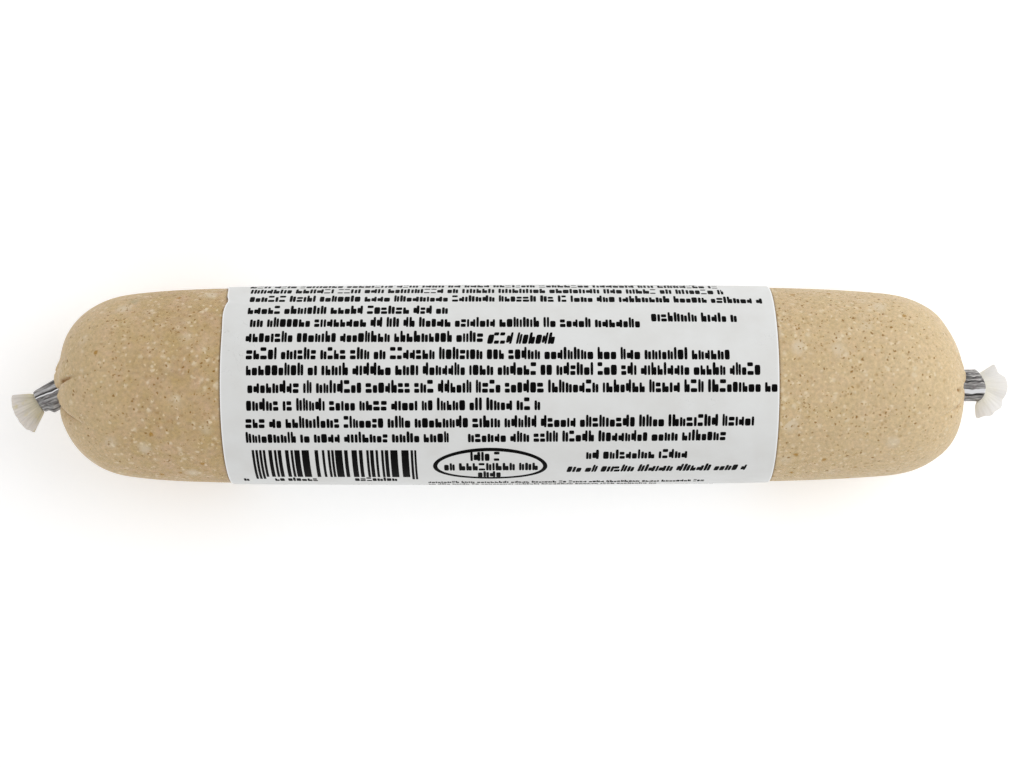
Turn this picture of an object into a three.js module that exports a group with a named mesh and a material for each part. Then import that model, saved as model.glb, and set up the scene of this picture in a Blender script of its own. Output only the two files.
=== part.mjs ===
// Cooked fish roe set in a clear casing: a thick roll lying on its side, a paper label round
// its middle, and at each end a crimped metal clip with the tuft of gathered film beyond it.
// Millimetres. +X runs along the roll, +Z is up, and the label's printed side faces +Z. The
// origin is on the resting face, below the middle of the roll.
import * as THREE from 'three';

// ---- driving dimensions ----------------------------------------------------------------

const labelRadius = 20; // outside of the label at mid-length: a 40 mm casing
const paperThickness = 0.12;
const paperGap = 0.08; // between paper and casing
const rollRadius = labelRadius - paperThickness - paperGap;
const halfLength = 91.8; // middle of the roll to its right pole

const restDrop = 0.32; // how far the roll settles, onto a flat strip 7 mm wide
const axisHeight = labelRadius - restDrop;

const labelLeft = -55.7;
const labelRight = 52.1;
const labelSeam = THREE.MathUtils.degToRad(-125); // where the sheet starts, low on the -Y side
const labelOverlap = THREE.MathUtils.degToRad(20);

const seamRise = THREE.MathUtils.degToRad(9); // turn over which the paper climbs onto itself
const seamGap = 0.05;

const clearance = 0.3; // left between touching pieces
const boreRadius = 1.2; // hole through a crimped clip
const neckRadius = boreRadius - clearance;
const filmWall = 0.3; // gathered film at the tuft's rim

// The roll's two ends. sign is the side; pole is where the rounded face would meet the axis;
// depth, faceBend and shoulderBend shape the rounded part; drop and taper the slow barrel.
// lean is how far the rounded face sits off the axis towards +Y, and pit.y how far its pit does.
const ends = {
  left: {
    sign: -1, pole: 90.3, depth: 14, faceBend: 3.75, shoulderBend: 2.31, drop: 5.7, taper: 8,
    lean: 0.45, pit: { y: -1.1, depth: 0.9, floor: 3.7, rim: 5.4 },
    // swellings of the face: direction, distance from the pit, reach, height
    lobes: [
      { at: 42, from: 5, reach: 3.4, height: 1.2 },
      { at: -10, from: 5.2, reach: 2.8, height: 0.4 },
      { at: 118, from: 5, reach: 3, height: 0.35 },
      { at: 176, from: 5, reach: 3.4, height: 0.6 },
      { at: -112, from: 5, reach: 3, height: 0.3 },
    ],
    // creases that run out from the pit: direction at both ends, radii between which the
    // crease runs, depth and half-width
    creases: [
      { at: 4, to: 9, from: 3, reach: 15, depth: 1.2, width: 0.6 },
      { at: -25, to: -29, from: 3, reach: 7.5, depth: 0.4, width: 0.4 },
      { at: -46, to: -35, from: 5, reach: 16, depth: 0.8, width: 0.6 },
      { at: 55, to: 24, from: 4, reach: 10.5, depth: 0.4, width: 0.5 },
      { at: 92, to: 99, from: 4, reach: 12, depth: 0.6, width: 0.55 },
      { at: 146, to: 138, from: 4, reach: 13, depth: 0.7, width: 0.55 },
      { at: -150, to: -158, from: 4, reach: 12, depth: 0.6, width: 0.55 },
      { at: -92, to: -84, from: 4, reach: 11, depth: 0.5, width: 0.5 },
    ],
  },
  right: {
    sign: 1, pole: 91.3, depth: 16.1, faceBend: 2.92, shoulderBend: 2.45, drop: 3.8, taper: 5.2,
    lean: -1.1, pit: { y: -0.3, depth: 0.7, floor: 3.7, rim: 5 },
    lobes: [
      { at: 28, from: 4.8, reach: 2.8, height: 0.5 },
      { at: -30, from: 4.6, reach: 2.4, height: 0.12 },
      { at: -160, from: 5, reach: 3, height: 0.3 },
      { at: 110, from: 5, reach: 3, height: 0.25 },
    ],
    creases: [
      { at: -7, to: -5, from: 3, reach: 9.5, depth: 1.0, width: 0.45 },
      { at: -45, to: -34, from: 4, reach: 14.5, depth: 0.5, width: 0.6 },
      { at: 46, to: 36, from: 5, reach: 11.5, depth: 0.35, width: 0.55 },
      { at: 84, to: 92, from: 4, reach: 12, depth: 0.5, width: 0.55 },
      { at: 137, to: 130, from: 4, reach: 12, depth: 0.6, width: 0.55 },
      { at: -172, to: -178, from: 4, reach: 13, depth: 0.6, width: 0.55 },
      { at: -118, to: -108, from: 4, reach: 12, depth: 0.55, width: 0.55 },
    ],
  },
};

// Clips, each in a frame of its own: the origin at the middle of the outer face, the axis
// pointing away from the roll, turned from the roll's axis by tilt. Angles round a clip are
// degrees from +Z towards +Y. bow is how far the outer face falls back beside its foremost
// point, more on the +Y side.
const clips = {
  left: {
    end: ends.left, x: 95.2, y: -3.4, tilt: 30, radius: 2.3,
    bulges: [{ at: -82, reach: 50, height: 1.25 }, { at: 160, reach: 45, height: 0.5 }],
    bow: { at: 0, height: 0, uneven: 0 },
    seam: 20, ridges: [{ at: -40, height: 0.1 }, { at: 70, height: 0.12 }],
  },
  right: {
    end: ends.right, x: 95.8, y: -0.3, tilt: 0, radius: 3.25,
    bulges: [{ at: 180, reach: 60, height: -0.3 }],
    bow: { at: -14, height: 1.3, uneven: 0.35 },
    seam: -37, ridges: [{ at: 45, height: 0.16 }, { at: 20, height: 0.14 }, { at: -9, height: 0.1 }],
  },
};

// Tufts of gathered film, each a flattened funnel that fans out from its clip's bore, in the
// clip's frame. aim, spread, apex and radius describe the fan seen from above; skew is how
// much its radius grows from its upper edge to its lower one; petals are the rounded tips of
// its rim, pitch degrees apart; pleats are counted from edge to edge.
const tufts = {
  left: {
    aim: 0, spread: 33, apex: -2.8, offset: -0.45, radius: 7.95, skew: 0, opening: 1.5,
    petals: { pitch: 21, from: 12, depth: 0.12 }, pleats: { count: 5, height: 0.16 },
  },
  right: {
    aim: -18.5, spread: 71, apex: -1.5, offset: -0.4, radius: 5.9, skew: 0.35, opening: 1.6,
    petals: { pitch: 54.5, from: 32, depth: 0.65 }, pleats: { count: 4.4, height: 0.42 },
  },
};

// ---- shared functions ------------------------------------------------------------------

const { degToRad, lerp, smoothstep } = THREE.MathUtils;

// Difference between two angles in degrees, from -180 to 180.
const turnBetween = (a, b) => ((a - b + 540) % 360) - 180;

// A bell of height 1 that falls off over reach.
const bell = (distance, reach) => Math.exp(-((distance / reach) ** 2));

// Evenly spaced numbers from a to b, count steps.
const steps = (a, b, count) => Array.from({ length: count + 1 }, (_, i) => lerp(a, b, i / count));

// One closed mesh from points and triangles, turned so that its faces point outwards.
function closedMesh(points, triangles) {
  const corner = (index) => new THREE.Vector3(...points[index]);
  const volume = triangles.reduce((sum, [a, b, c]) => (
    sum + corner(a).dot(corner(b).cross(corner(c)))
  ), 0);
  const facing = volume < 0 ? triangles.map(([a, b, c]) => [a, c, b]) : triangles;
  const geometry = new THREE.BufferGeometry();
  geometry.setAttribute('position', new THREE.Float32BufferAttribute(points.flat(), 3));
  geometry.setIndex(facing.flat());
  geometry.computeVertexNormals();
  return geometry;
}

// A round solid: rings of points, one after another, its two ends closed at middle points.
function roundSolid(rings) {
  const count = rings[0].length;
  const middle = (ring) => [0, 1, 2].map((k) => ring.reduce((sum, p) => sum + p[k], 0) / count);
  const points = [...rings.flat(), middle(rings[0]), middle(rings.at(-1))];
  const first = points.length - 2;
  const triangles = [];
  for (let j = 0; j < count; j += 1) {
    const next = (j + 1) % count;
    triangles.push([first, next, j]);
    for (let i = 0; i + 1 < rings.length; i += 1) {
      const [a, b] = [i * count + j, i * count + next];
      const [c, d] = [a + count, b + count];
      triangles.push([a, b, d], [a, d, c]);
    }
    const last = (rings.length - 1) * count;
    triangles.push([last + j, last + next, first + 1]);
  }
  return closedMesh(points, triangles);
}

// A bent slab: two grids of points alike, its outer and its inner face, joined at four edges.
function slabSolid(outer, inner) {
  const [rows, columns] = [outer.length, outer[0].length];
  const points = [...outer.flat(), ...inner.flat()];
  const index = (face, i, j) => (face * rows + i) * columns + j;
  const triangles = [];
  const quad = (a, b, c, d) => triangles.push([a, b, c], [a, c, d]);
  for (let i = 0; i + 1 < rows; i += 1) {
    for (let j = 0; j + 1 < columns; j += 1) {
      quad(index(0, i, j), index(0, i + 1, j), index(0, i + 1, j + 1), index(0, i, j + 1));
      triangles.push([index(1, i, j), index(1, i + 1, j + 1), index(1, i + 1, j)]);
      triangles.push([index(1, i, j), index(1, i, j + 1), index(1, i + 1, j + 1)]);
    }
    quad(index(0, i, 0), index(1, i, 0), index(1, i + 1, 0), index(0, i + 1, 0));
    const j = columns - 1;
    quad(index(0, i, j), index(0, i + 1, j), index(1, i + 1, j), index(1, i, j));
  }
  for (let j = 0; j + 1 < columns; j += 1) {
    quad(index(0, 0, j), index(0, 0, j + 1), index(1, 0, j + 1), index(1, 0, j));
    const i = rows - 1;
    quad(index(0, i, j), index(1, i, j), index(1, i, j + 1), index(0, i, j + 1));
  }
  return closedMesh(points, triangles);
}

// ---- the roll --------------------------------------------------------------------------

// Radius of the casing at a distance inwards from an end's pole: a rounded face times a
// slow barrel.
function casingRadius(end, inwards) {
  const alongHalf = Math.max(0, (end.pole - inwards) / halfLength);
  const barrel = rollRadius - end.drop * alongHalf ** end.taper;
  const fromShoulder = Math.max(0, 1 - inwards / end.depth);
  return barrel * (1 - fromShoulder ** end.shoulderBend) ** (1 / end.faceBend);
}

// An end's outline from its pole inwards: x is the distance from the pole, y the radius.
class EndOutline extends THREE.Curve {
  constructor(end, length) {
    super();
    this.end = end;
    this.length = length;
    this.arcLengthDivisions = 1500;
  }

  getPoint(t, target = new THREE.Vector2()) {
    const inwards = this.length * t ** 3; // close steps at the pole, where the face is flat
    return target.set(inwards, casingRadius(this.end, inwards));
  }
}

const creaseFade = 0.45; // share of a crease's run after which it dies away

// How far the face of an end stands out at a radius and direction: swellings and creases
// round the pit that the clip sits in.
function faceRelief(end, radius, direction) {
  const { pit, lobes, creases } = end;
  let relief = -pit.depth * (1 - smoothstep(radius, pit.floor, pit.rim));
  const outsidePit = smoothstep(radius, pit.floor, pit.floor + clearance * 2);
  for (const { at, from, reach, height } of lobes) {
    const sideways = 2 * from * Math.sin(degToRad(turnBetween(direction, at) / 2));
    relief += height * outsidePit * bell(radius - from, reach / 2) * bell(sideways, reach);
  }
  for (const { at, to, from, reach, depth, width } of creases) {
    const along = THREE.MathUtils.clamp((radius - from) / (reach - from), 0, 1);
    const sideways = radius * Math.sin(degToRad(turnBetween(direction, lerp(at, to, along))));
    const facing = Math.abs(turnBetween(direction, at)) < 90;
    const strength = smoothstep(radius, from - 1, from + 1) * (1 - smoothstep(along, creaseFade, 1));
    if (facing) relief -= depth * strength / (1 + (sideways / width) ** 2);
  }
  return relief;
}

const ringCount = 72; // points round the roll and the label
const endRings = 20;
const barrelRings = 6;
const leastRadius = 0.2;

// A point of the roll: an outline point turned to a direction, with relief pushed out along
// the outline's normal, and the underside flattened where the roll rests.
function rollPoint(x, radius, centreY, direction) {
  const angle = degToRad(direction);
  const z = Math.max(radius * Math.cos(angle), -(axisHeight - paperThickness - paperGap));
  return [x, centreY + radius * Math.sin(angle), axisHeight + z];
}

function endRing(end, outline, share, directions) {
  const place = outline.getPointAt(share);
  const normal = outline.getTangentAt(share).rotateAround(new THREE.Vector2(), Math.PI / 2);
  const beyondPit = smoothstep(place.y, end.pit.floor, 2 * end.pit.rim);
  const onBarrel = smoothstep(place.y, rollRadius / 2, rollRadius);
  const centreY = lerp(end.pit.y, end.lean, beyondPit) * (1 - onBarrel);
  return directions.map((direction) => {
    const relief = faceRelief(end, place.y, direction);
    const x = end.sign * (end.pole - place.x + relief * -normal.x);
    return rollPoint(x, Math.max(leastRadius, place.y + relief * normal.y), centreY, direction);
  });
}

function roeRoll() {
  const directions = steps(0, 360, ringCount).slice(0, -1);
  const pitShare = 0.075; // of the outline's length: the flat floor of the pit
  const crowding = 1.5; // rings lie closer together towards the pit
  const shares = steps(0, 1, endRings).map((share) => lerp(pitShare, 1, share ** crowding));
  const left = new EndOutline(ends.left, ends.left.pole + labelLeft);
  const right = new EndOutline(ends.right, ends.right.pole - labelRight);
  const barrel = steps(labelLeft, labelRight, barrelRings).slice(1, -1).map((x) => {
    const end = x < 0 ? ends.left : ends.right;
    const radius = casingRadius(end, end.pole - Math.abs(x));
    return directions.map((direction) => rollPoint(x, radius, 0, direction));
  });
  return roundSolid([
    ...shares.map((share) => endRing(ends.left, left, share, directions)),
    ...barrel,
    ...shares.map((share) => endRing(ends.right, right, share, directions)).reverse(),
  ]);
}

// ---- the label -------------------------------------------------------------------------

// The sheet goes once round the roll and on over its own start, a little further out there.
function paperLabel() {
  const turn = 2 * Math.PI;
  const angleSteps = Math.round((ringCount * (turn + labelOverlap)) / turn);
  const angles = steps(labelSeam, labelSeam + turn + labelOverlap, angleSteps);
  const stations = steps(labelLeft, labelRight, barrelRings);
  const lap = paperThickness + seamGap;
  const face = (lift) => angles.map((angle) => stations.map((x) => {
    const end = x < 0 ? ends.left : ends.right;
    const climb = lap * smoothstep(angle - labelSeam, turn - seamRise, turn);
    const radius = casingRadius(end, end.pole - Math.abs(x)) + lift + climb;
    const floor = -(axisHeight - paperThickness - paperGap + lift);
    const z = Math.max(radius * Math.cos(angle), floor);
    return [x, radius * Math.sin(angle), axisHeight + z];
  }));
  return slabSolid(face(paperGap + paperThickness), face(paperGap));
}

// ---- clips and tufts -------------------------------------------------------------------

// Takes a point of a clip's frame (along the axis, sideways towards +Y, up) to the part's.
function clipFrame({ end: { sign }, x, y, tilt }) {
  const turn = degToRad(tilt);
  const axis = [sign * Math.cos(turn), -Math.sin(turn)];
  const across = [sign * Math.sin(turn), Math.cos(turn)];
  return (along, sideways, up) => [
    sign * x + along * axis[0] + sideways * across[0],
    y + along * axis[1] + sideways * across[1],
    axisHeight + up,
  ];
}

const clipAngleSteps = 36;
const clipSlot = 4; // degrees left open at the seam, where the crimped legs meet
const edgeRound = { radius: 0.45, share: 0.18 }; // of both rims, and the share of the length it takes
const ridgeReach = 7; // degrees
const seamWave = { turn: 1.5, bends: 7 }; // the seam and ridges sway by so many degrees
const slimPart = { from: 0.1, to: 0.4 }; // the outer end stays slim, the bulges come after it
const clipStations = [0, 0.07, 0.18, 0.4, 0.85, 1]; // shares of a clip's length, from outside

// How far a clip's outer face lies behind its foremost point, at an angle round it.
function faceFall({ bow }, angle) {
  const height = bow.height * (1 + bow.uneven * Math.sin(degToRad(angle)));
  return height * Math.sin(degToRad(angle - bow.at)) ** 2;
}

// How far along its axis a clip reaches, for a point sideways of that axis: its inner end is
// cut along the floor of the roll's pit.
function innerReach({ end, x, tilt }, sideways) {
  const floor = end.pole - end.pit.depth + clearance;
  const turn = degToRad(tilt);
  return (floor - x - sideways * Math.sin(turn)) / Math.cos(turn);
}

// The crimped strip: a C of metal from one side of its seam round to the other, its edges
// rounded, its inner end cut along the roll's face.
function crimpedClip(clip) {
  const place = clipFrame(clip);
  const angles = steps(clip.seam + clipSlot / 2, clip.seam + 360 - clipSlot / 2, clipAngleSteps);
  const outside = (angle, share) => {
    const past = smoothstep(share, slimPart.from, slimPart.to);
    const ridge = (sum, { at, height }) => sum + height * bell(turnBetween(angle, at), ridgeReach);
    const bulge = (sum, { at, reach, height }) => (
      sum + past * height * bell(turnBetween(angle, at), reach)
    );
    return clip.ridges.reduce(ridge, clip.bulges.reduce(bulge, clip.radius));
  };
  const face = (radiusAt) => angles.map((angle) => clipStations.map((share) => {
    const turned = degToRad(angle + seamWave.turn * Math.sin(share * seamWave.bends));
    const radius = radiusAt(angle, share);
    const [up, sideways] = [Math.cos(turned), Math.sin(turned)];
    const along = lerp(-faceFall(clip, angle), innerReach(clip, radius * sideways), share);
    return place(along, radius * sideways, radius * up);
  }));
  const rounded = (angle, share) => {
    const fromEnd = Math.min(1, share / edgeRound.share, (1 - share) / edgeRound.share);
    const drop = edgeRound.radius * (1 - Math.sqrt(1 - (1 - fromEnd) ** 2));
    return outside(angle, share) - drop;
  };
  return slabSolid(face(rounded), face(() => boreRadius));
}

const tuftPoints = 44; // round the funnel
const tuftRings = { outer: 6, inner: 4, cupFloor: 0.3 }; // the cup ends at a share of its depth
const edgeFullness = 0.7; // under 1, the flattened funnel is fuller towards its edges
const opening = 0.5; // power by which the funnel widens: fast at the bore, then slower
const middleWave = 2 / Math.PI; // mean of the rim's rounded petals
const unevenPleats = { least: 0.4, most: 1, sway: 5, shift: 1 };

// A point of the tuft. share runs from the bore (0) to the rim (1), direction goes round the
// flattened funnel, inset is how far inside its outer face the point lies.
function tuftPoint(clip, tuft, share, direction, inset) {
  const turned = degToRad(direction);
  const across = Math.asin(Math.sin(turned)) / (Math.PI / 2); // -1 to 1 from edge to edge
  const depth = Math.sign(Math.cos(turned)) * Math.abs(Math.cos(turned)) ** edgeFullness;
  const spread = degToRad(tuft.spread) - inset / tuft.radius;
  const beta = degToRad(tuft.aim) + spread * across;
  const { pitch, from, depth: cut } = tuft.petals;
  const alongRim = (Math.PI * (beta - degToRad(from))) / degToRad(pitch);
  const petal = cut * (Math.abs(Math.sin(alongRim)) - middleWave);
  const reach = tuft.radius - tuft.skew * across + petal;
  const rim = [tuft.apex + reach * Math.cos(beta), tuft.offset + reach * Math.sin(beta)];
  const neck = [clearance - faceFall(clip, direction), (neckRadius - inset) * Math.sin(turned)];
  const opened = share ** opening;
  const { least, most, sway, shift } = unevenPleats;
  const uneven = lerp(least, most, (1 + Math.sin(sway * across + shift)) / 2);
  const { count, height } = tuft.pleats;
  const pleat = height * uneven * share * Math.sin(count * across * Math.PI);
  const half = lerp(neckRadius, tuft.opening, share) - inset;
  return [
    lerp(neck[0], rim[0], share),
    lerp(neck[1], rim[1], opened),
    lerp(neckRadius - inset, half, opened) * lerp(Math.cos(turned), depth, share) + pleat,
  ];
}

// The gathered film: a neck through the clip's bore, the funnel's outer face out to the rim,
// and its inner face back down to the bottom of the cup.
function filmTuft(clip, tuft) {
  const place = clipFrame(clip);
  const directions = steps(0, 360, tuftPoints).slice(0, -1);
  const innerEnd = innerReach(clip, -neckRadius);
  const neckRing = (along) => directions.map((direction) => {
    const turned = degToRad(direction);
    return place(along, neckRadius * Math.sin(turned), neckRadius * Math.cos(turned));
  });
  const ring = (share, inset) => directions.map((direction) => (
    place(...tuftPoint(clip, tuft, share, direction, inset))
  ));
  const rings = [
    neckRing(innerEnd),
    ...steps(0, 1, tuftRings.outer).map((share) => ring(share, 0)),
    ...steps(1, tuftRings.cupFloor, tuftRings.inner).map((share) => ring(share, filmWall)),
  ];
  return roundSolid(rings);
}

// ---- the part --------------------------------------------------------------------------

const finishes = {
  roe: new THREE.MeshStandardMaterial({ color: 0xc4ac84, roughness: 0.38, metalness: 0 }),
  paper: new THREE.MeshStandardMaterial({ color: 0xe3e3e0, roughness: 0.75, metalness: 0 }),
  metal: new THREE.MeshStandardMaterial({ color: 0xa9a9ad, roughness: 0.35, metalness: 1 }),
  film: new THREE.MeshStandardMaterial({ color: 0xd8d4c9, roughness: 0.4, metalness: 0 }),
};

const part = new THREE.Group();

function add(name, geometry, material) {
  const mesh = new THREE.Mesh(geometry, material);
  mesh.name = name;
  part.add(mesh);
}

add('roe_roll', roeRoll(), finishes.roe);
add('paper_label', paperLabel(), finishes.paper);
for (const side of ['left', 'right']) {
  add(`clip_${side}`, crimpedClip(clips[side]), finishes.metal);
  add(`tuft_${side}`, filmTuft(clips[side], tufts[side]), finishes.film);
}

export default part;
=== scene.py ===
from functools import partial
import bpy
import numpy as np
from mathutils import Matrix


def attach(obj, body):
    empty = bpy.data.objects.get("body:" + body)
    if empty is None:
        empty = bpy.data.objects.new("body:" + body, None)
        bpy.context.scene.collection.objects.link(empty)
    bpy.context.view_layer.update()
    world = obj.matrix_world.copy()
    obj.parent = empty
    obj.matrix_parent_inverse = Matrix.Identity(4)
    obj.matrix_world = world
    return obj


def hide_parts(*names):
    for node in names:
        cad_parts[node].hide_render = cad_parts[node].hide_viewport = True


# A roll of cooked roe set in a clear casing, with a paper label round its middle, a crimped clip
# and a tuft of gathered film at each end. Sizes are in millimetres, which pieceFrom turns to
# metres, and angles in degrees. +X runs along the roll and +Z is up. A direction round the roll
# or a clip starts at +Z and grows towards +Y.

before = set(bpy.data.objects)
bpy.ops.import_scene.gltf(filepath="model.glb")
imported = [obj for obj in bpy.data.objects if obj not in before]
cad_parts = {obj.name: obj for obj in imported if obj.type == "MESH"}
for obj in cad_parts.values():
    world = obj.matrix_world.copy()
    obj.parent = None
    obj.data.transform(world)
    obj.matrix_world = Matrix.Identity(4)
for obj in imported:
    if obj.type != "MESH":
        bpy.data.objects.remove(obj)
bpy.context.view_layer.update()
metresPerMm = 0.001


# From a to b by the share t.
def between(a, b, t):
    return a + (b - a) * t


# Rises from 0 at low to 1 at high, level at both: 3 t^2 - 2 t^3.
def smoothStep(x, low, high):
    t = np.clip((x - low) / (high - low), 0, 1)
    return t * t * (3 - 2 * t)


# A bell of height 1: e to the power of minus the square of distance over reach.
def bell(distance, reach):
    return np.exp(-((distance / reach) ** 2))


# Difference of two directions, from -180 to 180.
def turnBetween(a, b):
    return (a - b + 540) % 360 - 180


# An uneven wave of about 1: three sines whose counts share no beat.
def sway(t, count, shift):
    waves = [(1, 1, 0.5), (1.618, 2.1, 0.3), (2.71, 3.7, 0.2)]
    return sum(height * np.sin(t * count * pace + shift * late) for pace, late, height in waves)


# Arrays of any fitting shapes as one, whose last axis runs over them: x, y and z as points.
def together(*parts):
    return np.stack(np.broadcast_arrays(*parts), -1)


# Quads between neighbouring rows and columns of a grid. A closed grid joins its last column
# to its first.
def gridQuads(rows, columns, closed=False):
    row = np.arange(rows - 1)[:, None]
    column = np.arange(columns if closed else columns - 1)
    after = (column + 1) % columns
    here, below = row * columns, (row + 1) * columns
    return together(here + column, here + after, below + after, below + column).reshape(-1, 4)


# Points and faces of a round solid: a grid of rings, its two ends closed at their middles.
def roundSolid(rings):
    rows, columns, _ = rings.shape
    points = np.concatenate([rings.reshape(-1, 3), rings[[0, -1]].mean(1)])
    index = np.arange(columns)
    after = (index + 1) % columns
    last = (rows - 1) * columns
    first, final = rows * columns, rows * columns + 1
    capStart = together(first, after, index)
    capEnd = together(index + last, after + last, final)
    return points, [gridQuads(rows, columns, closed=True), capStart, capEnd]


# Points and faces of a bent slab: an outer and an inner grid joined all round their edge.
def slabSolid(outer, inner):
    rows, columns, _ = outer.shape
    count = rows * columns
    points = np.concatenate([outer.reshape(-1, 3), inner.reshape(-1, 3)])
    face = gridQuads(rows, columns)
    index = np.arange(count).reshape(rows, columns)
    rim = np.concatenate([index[0, :-1], index[:-1, -1], index[-1, :0:-1], index[:0:-1, 0]])
    after = np.roll(rim, -1)
    edge = together(rim, rim + count, after + count, after)
    return points, [face, face[:, ::-1] + count, edge]


# Six times the volume that faces hold: the sum of a . (b x c) over their triangles.
def signedVolume(points, faces):
    total = 0.0
    for k in range(1, faces.shape[1] - 1):
        a, b, c = points[faces[:, 0]], points[faces[:, k]], points[faces[:, k + 1]]
        total += np.einsum("ij,ij->", a, np.cross(b, c))
    return total


# A new object in the scene that holds this data.
def addObject(name, data):
    added = bpy.data.objects.new(name, data)
    bpy.context.scene.collection.objects.link(added)
    return added


# Makes an object from points in millimetres and face arrays, turned so that they face out.
# values holds one number a point for each attribute that its material reads.
def pieceFrom(name, points, faceSets, material, sharpAbove=None, values=None, flatCoords=None):
    if sum(signedVolume(points, faces) for faces in faceSets) < 0:
        faceSets = [faces[:, ::-1] for faces in faceSets]
    corners = np.concatenate([faces.ravel() for faces in faceSets]).astype(np.int32)
    sizes = np.concatenate([np.full(len(faces), faces.shape[1]) for faces in faceSets])
    starts = np.concatenate([[0], np.cumsum(sizes)[:-1]]).astype(np.int32)
    mesh = bpy.data.meshes.new(name)
    mesh.vertices.add(len(points))
    mesh.vertices.foreach_set("co", (points * metresPerMm).astype(np.float32).ravel())
    mesh.loops.add(len(corners))
    mesh.loops.foreach_set("vertex_index", corners)
    mesh.polygons.add(len(starts))
    mesh.polygons.foreach_set("loop_start", starts)
    mesh.update(calc_edges=True)
    mesh.polygons.foreach_set("use_smooth", np.ones(len(starts), bool))
    if sharpAbove is not None:
        mesh.set_sharp_from_angle(angle=np.radians(sharpAbove))
    for key, numbers in (values or {}).items():
        attribute = mesh.attributes.new(key, "FLOAT", "POINT")
        attribute.data.foreach_set("value", np.asarray(numbers, np.float32).ravel())
    if flatCoords is not None:
        layer = mesh.uv_layers.new(name="flat")
        layer.data.foreach_set("uv", flatCoords[corners].astype(np.float32).ravel())
    mesh.materials.append(material)
    piece = addObject(name, mesh)
    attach(piece, "root")
    print(f"{name}: {int((sizes - 2).sum())} triangles")
    return piece


# An sRGB hex colour as linear red, green, blue and 1.
def linear(hexColour):
    parts = np.array([int(hexColour[i:i + 2], 16) / 255 for i in (1, 3, 5)])
    levels = np.where(parts <= 0.04045, parts / 12.92, ((parts + 0.055) / 1.055) ** 2.4)
    return (*levels.tolist(), 1.0)


# Adds a node of a kind, named as in Blender but without "ShaderNode". settings are its own values,
# and inputs its sockets, each given a value, a socket or a node, whose first output in use is
# then linked. Where sockets share a name they go by number: 0, 6 and 7 are a Mix's share and
# its two colours.
def addNode(tree, kind, inputs=None, **settings):
    node = tree.nodes.new("ShaderNode" + kind)
    for key, value in settings.items():
        setattr(node, key, value)
    for key, value in (inputs or {}).items():
        if isinstance(value, bpy.types.Node):
            value = next(output for output in value.outputs if output.enabled)
        if isinstance(value, bpy.types.NodeSocket):
            tree.links.new(value, node.inputs[key])
        else:
            node.inputs[key].default_value = value
    return node


# A new material with an empty tree, and addNode for that tree.
def startMaterial(name):
    material = bpy.data.materials.new(name)
    material.use_nodes = True
    material.node_tree.nodes.clear()
    return material, partial(addNode, material.node_tree)


# Gives a material its surface, from values and nodes for the shader's sockets.
def finishMaterial(add, sockets):
    add("OutputMaterial", {"Surface": add("BsdfPrincipled", sockets)})


# Pattern scale for a feature of this real size in millimetres.
def perSize(size):
    return 1 / (size * metresPerMm)


labelRadius = 20.0  # outside of the label: a 40 mm casing
restDrop = 0.32  # how far the roll settles on its flat strip
axisHeight = labelRadius - restDrop

studio = {
    "cameraPlace": (0.96, 0.18), "cameraTurn": -0.125, "cameraAboveAxis": 406, "lens": 70.2,
    "dome": 0.72,  # even light from all round
    "keyPlace": (370, 155, 470), "keySize": 420, "keyPower": 1.2,  # softbox, up and to the right
    "floorSize": 3000, "floorGlow": 0.24, "floorDrop": 0.05,
}


def buildStudio():
    scene = bpy.context.scene
    scene.view_settings.view_transform = "Standard"
    camera = addObject("camera", bpy.data.cameras.new("camera"))
    camera.data.lens = studio["lens"]
    height = axisHeight + studio["cameraAboveAxis"]  # straight above, looking down
    camera.location = np.array([*studio["cameraPlace"], height]) * metresPerMm
    camera.rotation_euler.z = np.radians(studio["cameraTurn"])
    scene.camera = camera

    world = bpy.data.worlds.new("dome")
    world.use_nodes = True
    background = world.node_tree.nodes["Background"]
    background.inputs["Color"].default_value = (1, 1, 1, 1)
    background.inputs["Strength"].default_value = studio["dome"]
    scene.world = world

    key = addObject("softbox", bpy.data.lights.new("softbox", "AREA"))
    key.data.shape = "SQUARE"
    key.data.size = studio["keySize"] * metresPerMm
    key.data.energy = studio["keyPower"]
    key.location = np.array(studio["keyPlace"]) * metresPerMm
    key.rotation_mode = "QUATERNION"
    key.rotation_quaternion = key.location.to_track_quat("Z", "Y")

    half = studio["floorSize"] / 2 * metresPerMm
    mesh = bpy.data.meshes.new("floor")
    corners = [(-half, -half, 0), (half, -half, 0), (half, half, 0), (-half, half, 0)]
    mesh.from_pydata(corners, [], [(0, 1, 2, 3)])
    # Opal acrylic, cast and lit from below as on a light table: a soft, nearly even white.
    material, add = startMaterial("floorAcrylicOpal")
    place = add("TexCoord").outputs["Object"]
    peel = add("TexNoise", {"Vector": place, "Scale": perSize(2.0)})
    bump = add("Bump", {"Height": peel, "Strength": 0.05, "Distance": 0.0001})
    finishMaterial(add, {
        "Base Color": linear("#fdfdfd"), "Roughness": 0.8, "IOR": 1.49, "Normal": bump,
        "Emission Color": linear("#fdfdfd"), "Emission Strength": studio["floorGlow"]})
    mesh.materials.append(material)
    floor = addObject("floor", mesh)
    floor.location.z = -studio["floorDrop"] * metresPerMm
    print("studio ready")


buildStudio()


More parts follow.
